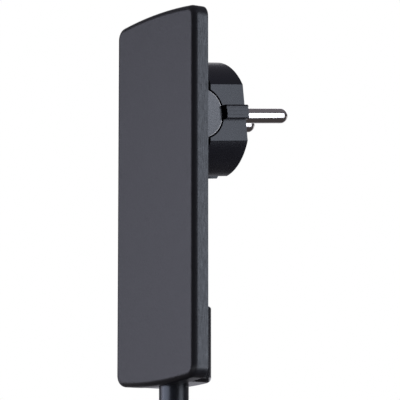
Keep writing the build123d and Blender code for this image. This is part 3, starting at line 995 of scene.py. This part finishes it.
@dataclass
class HankStraps:
    """Woven straps that hold the strands of the hank, each with its end laid over itself."""

    strands: tuple[int, int] = (HANK.loops + 1, HANK.loops)
    gap: float = 0.3 * MM
    thickness: float = 1.0 * MM
    height: float = 8 * MM
    corner: float = 3.6 * MM
    overlap: float = 21 * MM
    lap_climb: float = 6 * MM
    lap_rise: float = 1.06 * MM
    rows: int = 220
    edge_points: int = 7

    def band_path(self, strands: int) -> tuple[np.ndarray, np.ndarray]:
        """The strap's middle line round a group of strands, seen from above.

        It is a rectangle with round corners, walked by its length: on each of the four sides and corners
        the place follows from the length left after the ones before it. Past a full turn it lies further
        out, to which it climbs by a smooth step.

        Args:
            strands: How many strands it holds.

        Returns:
            Its points as x and y about the group's middle, and the directions in which it faces out.
        """
        half = np.array([(strands - 1) * HANK.pitch + HANK.diameter, HANK.diameter]) / 2
        half = half + self.gap + self.thickness / 2
        radius = self.corner + self.thickness / 2
        flat = 2 * (half - radius)
        arc = radius * pi / 2
        ends = np.concatenate([[0], np.cumsum([flat[1], arc, flat[0], arc] * 2)])
        length = np.linspace(0, ends[-1] + self.overlap, self.rows)
        turn = length % ends[-1]
        quarters = np.repeat(np.arange(5), 2)
        heading = np.interp(turn, ends, quarters[:-1] * pi / 2)
        out = np.stack([np.cos(heading), np.sin(heading)], axis=1)
        corners = np.array([(1, -1), (1, 1), (-1, 1), (-1, -1), (1, -1)]) * (half - radius)
        on_flat = np.interp(turn, ends, quarters[1:])
        base = np.stack([np.interp(on_flat, np.arange(5), place) for place in corners.T], axis=1)
        lap = np.clip((length - ends[-1] + self.lap_climb) / self.lap_climb, 0, 1)
        return base + out * (radius + eased(lap) * self.lap_rise)[:, None], out

    def strap_grid(self, side: int, strands: int) -> Grid:
        """One strap, halfway down the hank: a flat profile with round edges, carried along its line.

        Args:
            side: 1 for the strands on the first strand's side, -1 for the other side.
            strands: How many strands it holds.

        Returns:
            The surface.
        """
        line, out = self.band_path(strands)
        x, y, z = HANK.start
        middle = np.array([x + (strands - 1) * HANK.pitch / 2, side * y])
        path = np.column_stack([line + middle, np.full(len(line), z - HANK.run / 2)])
        sides = np.column_stack([out, np.zeros(len(out))])
        ups = np.broadcast_to([0.0, 0.0, 1.0], path.shape)
        half_t = self.thickness / 2
        rim = self.height / 2 - half_t
        edge = np.linspace(-pi / 2, pi / 2, self.edge_points)
        top = np.stack([-half_t * np.sin(edge), rim + half_t * np.cos(edge)], axis=1)
        return swept_grid(path, sides, ups, np.concatenate([top, -top]))

    def build(self) -> list[bpy.types.Object]:
        """Make both straps as one piece.

        Returns:
            The new piece, in a list.
        """
        grids = [self.strap_grid(side, strands) for side, strands in zip((1, -1), self.strands)]
        mesh = surface_mesh("hank_straps", grids)
        straps = place_piece(mesh, STRAP_WEAVE.build())
        return [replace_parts(straps, "hank_ties")]


@dataclass
class MainsCord:
    """The mains cord, from its end inside the lever to the hank that the rest of it is folded into."""

    diameter: float = HANK.diameter
    route: tuple[Point, ...] = (
        (-25.67 * MM, 0.0, -72.52 * MM),
        (-27.56 * MM, 0.0, -90.47 * MM),
        (-29.45 * MM, 0.0, -108.42 * MM),
        (-45.4 * MM, 28.2 * MM, -160 * MM),
        HANK.start,
    )
    exit: Point = (-26.94 * MM, 0.0, -84.56 * MM)
    fold_radius: float = HANK.start[1]
    fold_points: int = 9
    run_points: int = 3
    length: float = 1.456
    bevel_steps: int = 8
    curve_steps: int = 5

    def fold(self, x0: float, x1: float, top: bool) -> np.ndarray:
        """One half turn of the hank.

        Its points stand on the polygon of tangents to the half circle, so that the curve touches the
        circle, and x changes by a smooth step on the way.

        Args:
            x0: Where the half turn starts across the hank.
            x1: Where it ends.
            top: True for the upper fold, which goes from -Y to +Y; the lower one goes back.

        Returns:
            The points, in order.
        """
        share = (np.arange(self.fold_points) + 0.5) / self.fold_points
        angle = pi * share
        radius = self.fold_radius / cos(pi / self.fold_points / 2)
        sign = 1 if top else -1
        centre = HANK.start[2] - (0 if top else HANK.run)
        x = x0 + (x1 - x0) * eased(share)
        return np.stack([x, -sign * radius * np.cos(angle), centre + sign * radius * np.sin(angle)], axis=1)

    def strand(self, x: float, side: int, down: bool) -> np.ndarray:
        """Points along one straight strand, between its two folds.

        Args:
            x: Its place across the hank.
            side: 1 for the strand at +Y, -1 for the one at -Y.
            down: True where the cord goes down it.

        Returns:
            The points, in order.
        """
        share = (np.arange(self.run_points) + 1) / (self.run_points + 1)
        height = HANK.start[2] - HANK.run * (share if down else 1 - share)
        return np.column_stack([np.full((self.run_points, 2), (x, side * self.fold_radius)), height])

    def points(self) -> np.ndarray:
        """The control points of the whole cord: its route, the turns of the hank and the last strand.

        Returns:
            The points, in order.
        """
        x = HANK.start[0]
        parts = [np.array(self.route)]
        for _ in range(HANK.loops):
            parts += [self.strand(x, 1, True), self.fold(x, x, False), self.strand(x, -1, False)]
            parts.append(self.fold(x, x + HANK.pitch, True))
            x += HANK.pitch
        parts += [self.strand(x, 1, True), np.array([HANK.end()])]
        return np.concatenate(parts)

    def build(self, carried: list[bpy.types.Object]) -> bpy.types.Object:
        """Args:
            carried: The separate pieces on it; not used.

        Returns:
            The cord.
        """
        points = self.points()
        curve = bpy.data.curves.new("mains_cord", "CURVE")
        curve.dimensions = "3D"
        curve.bevel_depth = self.diameter / 2
        curve.bevel_resolution = self.bevel_steps
        curve.resolution_u = self.curve_steps
        curve.use_fill_caps = True
        spline = curve.splines.new("NURBS")
        spline.points.add(len(points) - 1)
        weighted = np.column_stack([points, np.ones(len(points))])
        spline.points.foreach_set("co", weighted.astype(np.float32).ravel())
        spline.order_u = 3
        spline.use_endpoint_u = True
        cord = place_piece(curve, CORD_SHEATH.build())
        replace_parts(cord, "cord", "cord_hank")
        return cord


@dataclass
class EarEdges:
    """The rounded outer edges of the two hinge ears, laid over their plain chamfers."""

    hinge: Point = (-18.25 * MM, 0.0, 0.0)
    tilt_deg: float = PLATE_TILT_DEG
    radius: float = 8.1 * MM
    outer: float = 16.4 * MM  # from the middle plane to the ear's face
    foot: float = 2.2 * MM  # from the hinge back to just inside the plate
    tip: float = 7.68 * MM  # from the hinge to just inside the ear's flat tip
    rounding: float = 0.5 * MM
    inside: float = 0.1 * MM
    rows: int = 72
    columns: int = 9

    def edge_grid(self, side: int) -> Grid:
        """One ear's edge: a quarter round carried from the plate round the half circle and back.

        The profile's first measure is the distance from the hinge's axis, its second the one from the
        middle plane. What would pass the ear's tip is moved back to it.

        Args:
            side: -1 for the near ear, 1 for the far one.

        Returns:
            The surface.
        """
        tilt, hinge = radians(self.tilt_deg), np.array(self.hinge)
        off_plate = np.array([cos(tilt), 0.0, -sin(tilt)])
        along_plate = np.array([sin(tilt), 0.0, cos(tilt)])
        angle = np.pad(np.linspace(pi / 2, -pi / 2, self.rows), 1, mode="edge")[::-side, None]
        back = np.pad(np.zeros(self.rows), 1, constant_values=-self.foot)[:, None]
        path = hinge + back * off_plate
        sides = np.cos(angle) * off_plate + np.sin(angle) * along_plate
        ups = np.broadcast_to([0.0, float(side), 0.0], path.shape)
        turn = np.linspace(0, pi / 2, self.columns)
        middle = np.array([self.radius, self.outer]) - self.rounding
        arc = middle + self.rounding * np.stack([np.cos(turn), np.sin(turn)], axis=1)
        grid = swept_grid(path, sides, ups, np.vstack([arc, middle - self.inside]))
        past_tip = np.maximum((grid.points - hinge) @ off_plate - self.tip, 0)
        grid.points = grid.points - past_tip[..., None] * off_plate
        return grid

    def build(self) -> bpy.types.Object:
        """Make both edges as one piece."""
        mesh = surface_mesh("ear_edges", [self.edge_grid(side) for side in (-1, 1)])
        return place_piece(mesh, COVER_PLASTIC.build())


def dress_cores(kind: str) -> None:
    """Give the three inner cores of one kind, the tails or the leads, their finishes."""
    for core, finish in zip(Core, (CORE_BROWN, CORE_BLUE, CORE_GREEN)):
        dress((f"{core.name.lower()}_{kind}",), finish.build())


@dataclass
class PlugInsert:
    """The round insert: its housing, contacts, screws and inner cores."""

    housing: tuple[str, ...] = ("insert_body", "insert_rear_cap")
    contacts: tuple[str, ...] = ("live_pin", "neutral_pin")
    strips: tuple[str, ...] = ("earth_bracket",)
    steel: tuple[str, ...] = ("insert_screws", "pin_clips", "hinge_pin_near", "hinge_pin_far")

    def dress(self) -> None:
        """Give every node of the insert its finish."""
        dress(self.housing, INSERT_PLASTIC.build())
        dress(self.contacts, PIN_NICKEL.build())
        dress(self.strips, STRIP_NICKEL.build())
        dress(self.steel, SCREW_STEEL.build())
        dress_cores("tail")


@dataclass
class LeverPlate:
    """The lever: its front shell, rear cover, clamp, screws and inner cores."""

    shell: tuple[str, ...] = ("front_shell",)
    cover: tuple[str, ...] = ("rear_cover", "cord_clamp")
    steel: tuple[str, ...] = ("cover_screws", "clamp_screws")

    def dress(self) -> None:
        """Give every node of the lever its finish."""
        dress(self.shell, SHELL_PLASTIC.build())
        dress(self.cover, COVER_PLASTIC.build())
        dress(self.steel, SCREW_STEEL.build())
        dress_cores("lead")


def main() -> None:
    """Build the camera, the cord, what is on it and the ears' edges, then dress the plug and light it."""
    logging.basicConfig(level=logging.INFO, format="%(name)s %(message)s")
    PhotoCamera().build()
    carried = HankStraps().build() + StrippedEnd().build()
    for piece in [MainsCord().build(carried), *carried, EarEdges().build()]:
        log.info("%s: %s", piece.name, piece.data.materials[0].name)
    PlugInsert().dress()
    LeverPlate().dress()
    Studio().build()


if __name__ == "__main__":
    main()
